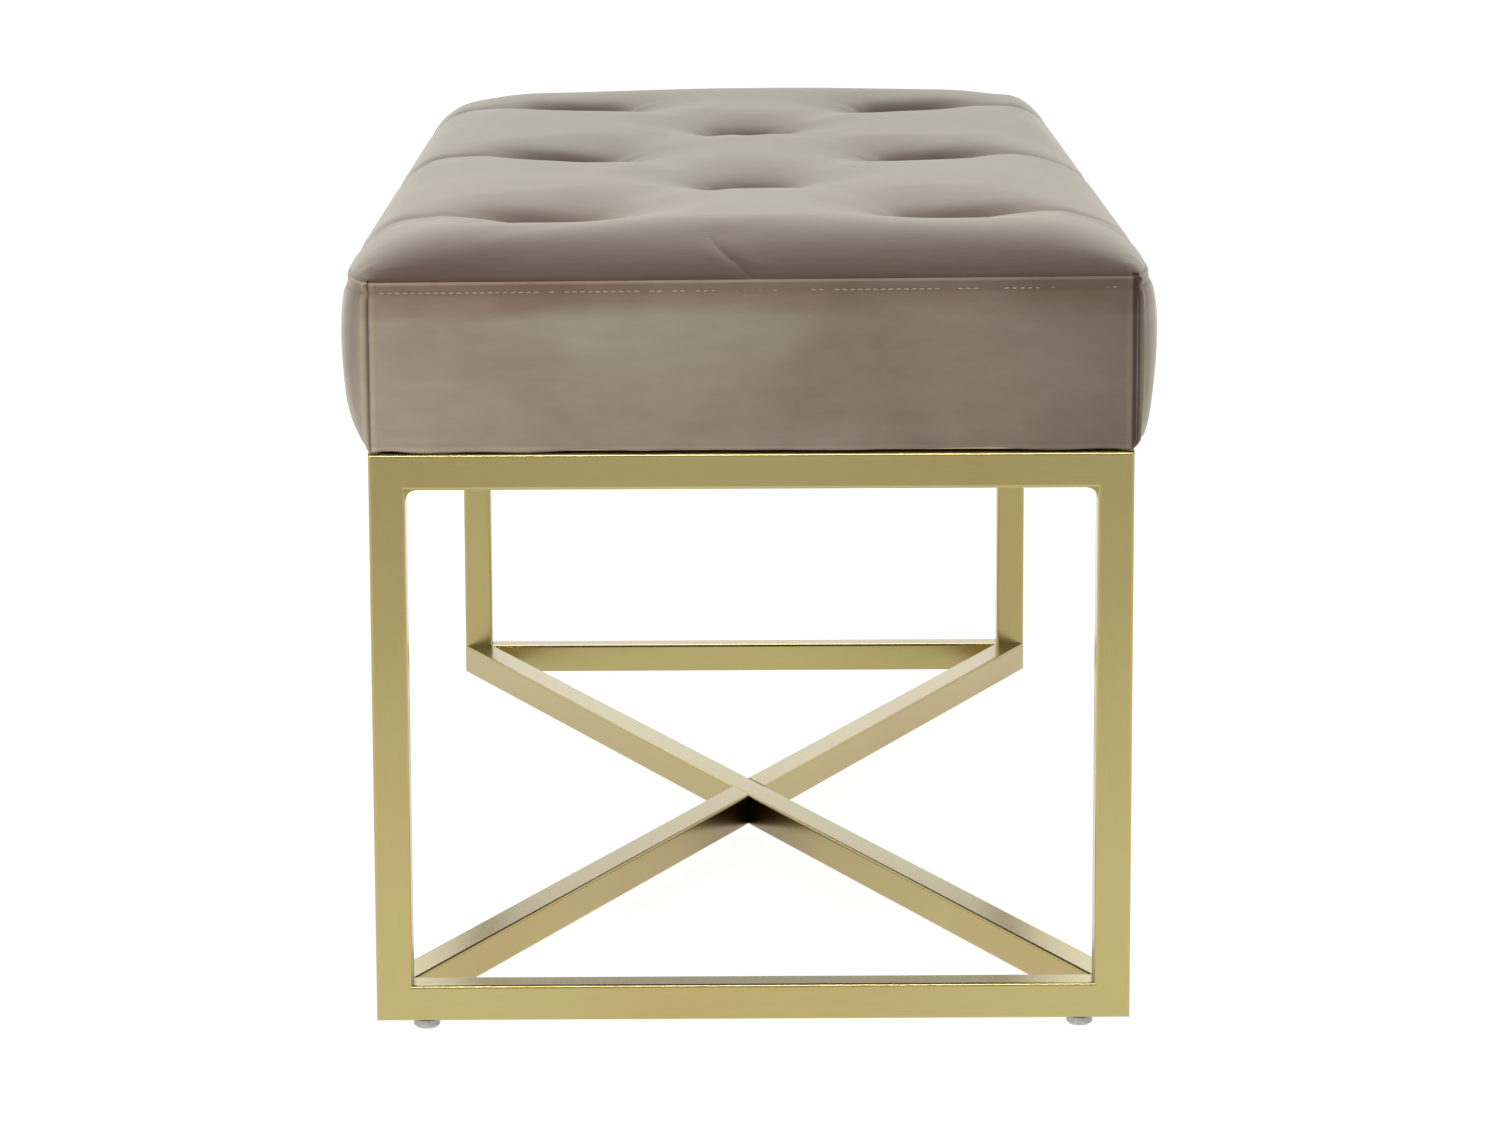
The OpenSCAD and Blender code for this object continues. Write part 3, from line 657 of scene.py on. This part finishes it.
def gold_material(name, axis, crossing=False):
    """Satin gold plate with a fine brushed grain along one axis, and painted shade a little darker towards
    the left end. The stretcher's tubes get a painted reflection, warmer and darker on their sides than on
    their tops, and painted shade darkening them towards the crossing."""
    mat, tree, shader = new_material(name)
    scale = [60, 60, 60]
    scale[axis] = 1.2
    plain = coords(tree, (1, 1, 1))
    grain = noise(tree, coords(tree, tuple(scale)), 40, 3, 0.6)
    cloud = noise(tree, plain, 5, 3, 0.5)
    clouded = ramp(tree, cloud, [(0.3, (0.475, 0.405, 0.160)), (0.7, (0.515, 0.440, 0.180))])
    brushed = ramp(tree, grain, [(0.3, (0.455, 0.388, 0.152)), (0.7, (0.530, 0.455, 0.190))])
    tone = ramp(tree, noise(tree, plain, 3.1, 2, 0.5), [(0.42, (1, 1, 1)), (0.66, (0.96, 0.90, 0.88))])
    colour = tinted(tree, mix(tree, 0.5, clouded, brushed), tone)
    place = separate(tree, plain)
    # Painted shade: darker towards the left end
    far = span(tree, place.outputs["X"], -HALF_LENGTH, 0.3 * HALF_LENGTH, 0.0, 1.0)
    colour = tinted(tree, colour, ramp(tree, far, [(0.0, (0.86, 0.85, 0.84)), (1.0, (1, 1, 1))]))
    if crossing:
        above = number(tree, "SUBTRACT", place.outputs["Z"], CROSS_HIGH)
        under = number(tree, "SUBTRACT", CROSS_LOW, place.outputs["Z"])
        off_flank = number(tree, "MAXIMUM", above, under)
        on_flank = number(tree, "LESS_THAN", off_flank, 0.0)
        # Painted reflection: the tubes' sides are painted warmer and darker than their tops
        flank = ramp(tree, on_flank, [(0.0, (1, 1, 1)), (1.0, (0.88, 0.80, 0.56))])
        colour = tinted(tree, colour, flank)
        # Painted shade: only the sides to the right of the crossing darken; elsewhere the distance counts as
        # large
        behind = number(tree, "MULTIPLY", place.outputs["X"], -0.2)
        clear = number(tree, "MULTIPLY", number(tree, "MAXIMUM", off_flank, behind), FAR_OFF)
        distance = number(tree, "MAXIMUM", place.outputs["X"], clear)
        crossing_shade = ramp(tree, span(tree, distance, 0.0, CROSSING_SHADE_RUN, 0.0, 1.0),
                    [(0.0, (0.20, 0.17, 0.14)), (0.2, (0.5, 0.46, 0.40)), (0.45, (0.86, 0.82, 0.76)),
                     (1.0, (1, 1, 1))])
        colour = tinted(tree, colour, crossing_shade)
    tree.links.new(colour, shader.inputs["Base Color"])
    tree.links.new(span(tree, grain, 0.0, 1.0, 0.17, 0.28), shader.inputs["Roughness"])
    tree.links.new(bump(tree, grain, 0.02 * MM, 0.35), shader.inputs["Normal"])
    shader.inputs["Metallic"].default_value = 1.0
    shader.inputs["Coat Weight"].default_value = 0.3
    shader.inputs["Coat Roughness"].default_value = 0.3
    return mat


def simple_material(name, colour, roughness, scale, depth, metallic=0.0, spread=0.12):
    """A surface with a fine grain of its own in colour, roughness and height."""
    mat, tree, shader = new_material(name)
    grain = noise(tree, coords(tree, (1, 1, 1)), scale, 4, 0.6)
    dark = tuple(c * (1 - spread) for c in colour)
    light = tuple(min(1, c * (1 + spread)) for c in colour)
    tree.links.new(ramp(tree, grain, [(0.3, dark), (0.7, light)]), shader.inputs["Base Color"])
    tree.links.new(bump(tree, grain, depth, 0.5), shader.inputs["Normal"])
    shader.inputs["Roughness"].default_value = roughness
    shader.inputs["Metallic"].default_value = metallic
    return mat


def dress(node, mat):
    """Gives a CAD node one material."""
    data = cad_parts[node].data
    data.materials.clear()
    data.materials.append(mat)


# Stitches of the top seam
def make_stitches():
    """Short rounded stitches in a line under the top seam, all the way round."""
    pitch, length, radius, sides, clear = 4.6 * MM, 3.3 * MM, 0.42 * MM, 6, 9 * MM
    v = STITCH_DROP
    u = 1 - v / BOX_H
    rng = np.random.default_rng(3)
    points, faces = [], []
    ring = [(math.cos(k * math.tau / sides), math.sin(k * math.tau / sides)) for k in range(sides)]
    # A stitch's profile: place along it and thickness, as shares
    profile = [(-0.5, 0.35), (-0.3, 0.9), (0, 1.0), (0.3, 0.9), (0.5, 0.35)]
    up = Vector((0, 0, 1))

    def stitch(middle, along, out):
        start = len(points)
        lean = rng.uniform(-0.12, 0.12)
        sunk = radius * max(0.0, rng.uniform(-1.6, 1.5))
        for t, r in profile:
            centre = (middle + along * (t * length) + up * (t * length * lean)
                      + out * (radius * 0.2 * (1 - abs(t)) - sunk))
            for c, s in ring:
                points.append(centre + up * (c * r * radius) + out * (s * r * radius))
        for a in range(len(profile) - 1):
            faces.extend(band_faces(start + a * sides, sides))
        faces.append(tuple(start + k for k in reversed(range(sides))))
        faces.append(tuple(start + (len(profile) - 1) * sides + k for k in range(sides)))

    out_by = float(stand_out(np.array(v)))
    for side in (-1, 1):
        for k in range(int(2 * (CORNER_X - clear) / pitch) + 1):
            x = clear - CORNER_X + k * pitch
            y = float(side_y(np.array(x), u, side)) + out_by
            level = SEAM_Z - v - float(tilt(np.array(side * y))) * u
            stitch(Vector((x, side * y, level)), Vector((1, 0, 0)), Vector((0, side, 0)))
        for k in range(int(2 * (CORNER_Y - clear) / pitch) + 1):
            y = clear - CORNER_Y + k * pitch
            x = float(end_x(np.array(y), u)) + out_by
            level = SEAM_Z - v - float(tilt(np.array(y))) * u
            stitch(Vector((side * x, y, level)), Vector((0, 1, 0)), Vector((side, 0, 0)))
    return make_mesh("seam_topstitch", points, faces)


# Studs of the glides: a collar that the pad holds, and a right-hand thread with the joint's pitch
THREAD_PITCH = 1.0 * MM
THREAD_DEPTH = 0.5 * MM
COLLAR_STEP = 1.5 * MM
COLLAR_T = 1.4 * MM
COLLAR_EDGE = 0.15 * MM
NECK = 0.6 * MM


def make_stud(corner, mat):
    """The threaded stud of one glide, in place of its CAD node and turning with its screw."""
    low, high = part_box(corner + "_stud")
    foot, head = low[2], high[2]
    collar = (high[0] - low[0]) / 2
    crest = collar - COLLAR_STEP
    sides, rows_per_turn = 24, 8
    shoulder = foot + COLLAR_T
    neck = shoulder + NECK
    plain = [(foot, collar - COLLAR_EDGE), (foot + COLLAR_EDGE, collar), (shoulder - COLLAR_EDGE, collar),
             (shoulder, collar - COLLAR_EDGE), (shoulder, crest - THREAD_DEPTH)]
    turns = (head - neck) / THREAD_PITCH
    levels = plain + [(z, crest) for z in np.linspace(neck, head, int(turns * rows_per_turn) + 1)]
    points, faces = [], []
    for n, (z, r) in enumerate(levels):
        run_out = smooth((z - neck) / THREAD_PITCH) * smooth((head - z) / (0.8 * THREAD_PITCH))
        for k in range(sides):
            phase = ((z - foot) / THREAD_PITCH - k / sides) % 1.0
            flank = np.clip(1.35 * (1 - abs(2 * phase - 1)) - 0.12, 0, 1)
            reach = r - THREAD_DEPTH * (1 - flank * run_out) if n >= len(plain) else r
            angle = math.tau * k / sides
            points.append(((low[0] + high[0]) / 2 + reach * math.cos(angle),
                           (low[1] + high[1]) / 2 + reach * math.sin(angle), z))
        if n:
            faces.extend(band_faces((n - 1) * sides, sides))
    faces.append(tuple(reversed(range(sides))))
    faces.append(tuple(len(points) - sides + k for k in range(sides)))
    stud = make_mesh(corner + "_threaded_stud", points, faces)
    stud.data.materials.append(mat)
    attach(stud, corner + "_screw")
    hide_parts(corner + "_stud")


def place_camera():
    """The photograph's view, from the right-hand end, a little above the seat."""
    place = (3.5389, -0.0169, 0.8123)
    pitch, yaw, roll = 0.17374, 0.0053, -0.00361
    focal_px, frame_px, sensor = 5029.4, 1500, 36.0
    ahead = Vector((-math.cos(yaw), math.sin(yaw), 0))
    right = Vector((math.sin(yaw), math.cos(yaw), 0))
    up = Vector((0, 0, 1))
    forward = ahead * math.cos(pitch) - up * math.sin(pitch)
    upward = up * math.cos(pitch) + ahead * math.sin(pitch)
    side = right * math.cos(roll) + upward * math.sin(roll)
    top = -right * math.sin(roll) + upward * math.cos(roll)
    data = bpy.data.cameras.new("photo_camera")
    data.sensor_fit = "HORIZONTAL"
    data.sensor_width = sensor
    data.lens = focal_px * sensor / frame_px
    data.clip_end = 60
    cam = bpy.data.objects.new("photo_camera", data)
    turned = zip(side, top, -forward)
    cam.matrix_world = Matrix([(*row, at) for row, at in zip(turned, place)] + [(0, 0, 0, 1)])
    bpy.context.scene.collection.objects.link(cam)
    bpy.context.scene.camera = cam


def area_light(name, place, aim, size, power):
    """A rectangular light at place, turned towards aim."""
    data = bpy.data.lights.new(name, "AREA")
    data.shape = "RECTANGLE"
    data.size, data.size_y = size
    data.energy = power
    obj = bpy.data.objects.new(name, data)
    obj.location = place
    obj.rotation_euler = (Vector(aim) - Vector(place)).to_track_quat("-Z", "Y").to_euler()
    bpy.context.scene.collection.objects.link(obj)


def make_studio():
    """A white sweep that is brightest behind the bench, as seen from its right-hand end."""
    world = bpy.data.worlds.new("studio")
    bpy.context.scene.world = world
    world.use_nodes = True
    tree = world.node_tree
    toward = separate(tree, add(tree, "ShaderNodeTexCoord").outputs["Generated"])
    level = span(tree, toward.outputs["X"], -0.6, 0.7, 1.05, 0.42)
    below = span(tree, toward.outputs["Z"], -0.01, 0.0, 1.1, 0.0)
    tree.nodes["Background"].inputs["Color"].default_value = (1, 1, 1, 1)
    tree.links.new(number(tree, "MAXIMUM", level, below), tree.nodes["Background"].inputs["Strength"])
    half = 14.0
    corners = [(-half, -half, 0), (half, -half, 0), (half, half, 0), (-half, half, 0)]
    floor = make_mesh("studio_floor", corners, [(0, 1, 2, 3)])
    mat, tree, shader = new_material("floor")
    shader.inputs["Base Color"].default_value = (0.15, 0.15, 0.15, 1)
    shader.inputs["Roughness"].default_value = 0.9
    shader.inputs["Specular IOR Level"].default_value = 0.0
    # The floor glows as painted light, which also fills the bench's shadow on it: it dims towards the camera,
    # but not far out to the sides
    place = separate(tree, coords(tree, (1, 1, 1)))
    ahead = span(tree, place.outputs["X"], 0.85, 2.6, 0.95, 0.50, "SMOOTHSTEP")
    aside = span(tree, number(tree, "ABSOLUTE", place.outputs["Y"]), 1.2, 4.5, 0.5, 0.95)
    shader.inputs["Emission Color"].default_value = (1, 1, 1, 1)
    tree.links.new(number(tree, "MAXIMUM", ahead, aside), shader.inputs["Emission Strength"])
    floor.data.materials.append(mat)
    area_light("back_softbox", (-2.4, -0.3, 2.4), (0, 0, 0.4), (2.6, 2.0), 60)
    area_light("front_left_fill", (4.0, -3.0, 1.3), (0.5, 0, 0.4), (1.6, 1.6), 36)
    area_light("front_strip", (2.6, 0.0, 2.7), (0.56, 0, 0.02), (1.4, 0.12), 26)
    bpy.context.scene.view_settings.view_transform = "Standard"


# Dressing the frame
GOLD_ALONG = {
    0: ["front_side_rail", "back_side_rail"],
    1: ["right_top_rail", "right_bottom_rail", "left_top_rail", "left_bottom_rail",
        "weld_fillets", "seat_tabs"],
    2: ["right_front_post", "right_back_post", "left_front_post", "left_back_post"],
}
for axis, names in GOLD_ALONG.items():
    gold = gold_material("satin_gold_" + "xyz"[axis], axis)
    for node in names:
        dress(node, gold)
stretcher = gold_material("satin_gold_stretcher", 0, True)
for node in ("long_diagonal", "right_half_diagonal", "left_half_diagonal"):
    dress(node, stretcher)
zinc = simple_material("zinc_plate", (0.55, 0.56, 0.57), 0.35, 300, 0.02 * MM, 1.0, 0.08)
for node in ["foot_inserts", "tee_nuts", "seat_bolts", "bolt_washers"]:
    dress(node, zinc)
glide = simple_material("glide_nylon", (0.42, 0.42, 0.40), 0.4, 500, 0.03 * MM)
for corner in ("right_front", "right_back", "left_front", "left_back"):
    dress(corner + "_pad", glide)
    make_stud(corner, zinc)
dress("seat_board", simple_material("plywood", (0.55, 0.40, 0.24), 0.7, 60, 0.2 * MM))
dress("tuft_ties", simple_material("twine", (0.7, 0.66, 0.55), 0.9, 900, 0.2 * MM))
dress("tuft_anchors", simple_material("anchor_nylon", (0.8, 0.8, 0.78), 0.5, 400, 0.03 * MM))
dress("dust_cover", simple_material("dust_cloth", (0.018, 0.018, 0.02), 0.95, 1400, 0.1 * MM, 0.0, 0.5))

cushion = make_cushion()
# The top's last argument paints light and shade along its length
cushion.data.materials.append(velvet_material(
    "velvet_top", deep=(0.102, 0.059, 0.044), light=(0.134, 0.082, 0.062), green=(0.126, 0.092, 0.069),
    haze=0.44, glow=0.62, streak_scale=(14, 1, 6), streak=0.06, lean=0.06, greener=0.12, hue_lean=0.0,
    length_light_and_shade=[(0.2, (0.86, 0.86, 0.86)), (0.54, (0.95, 0.95, 0.95)), (0.83, (1.36, 1.36, 1.36)),
          (0.91, (1.24, 1.24, 1.24)), (0.985, (0.93, 0.89, 0.88))]))
# Painted sheen: the boxing's ground is painted lighter and greener than the top's, for the haze that its pile
# catches
cushion.data.materials.append(velvet_material(
    "velvet_boxing", deep=(0.200, 0.150, 0.114), light=(0.260, 0.210, 0.161), green=(0.268, 0.243, 0.183),
    haze=0.36, glow=0.68, streak_scale=(6, 1, 4), streak=0.05, lean=0.27, greener=0.13, hue_lean=0.22,
    length_light_and_shade=None))
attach(cushion, "bench")
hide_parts("top_panel", "right_end_boxing", "left_end_boxing", "front_boxing", "back_boxing",
            "foam_block", "crown_wadding")

stitches = make_stitches()
stitches.data.materials.append(simple_material("stitch_thread", (0.40, 0.35, 0.28), 0.6, 2500, 0.05 * MM))
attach(stitches, "bench")

place_camera()
make_studio()
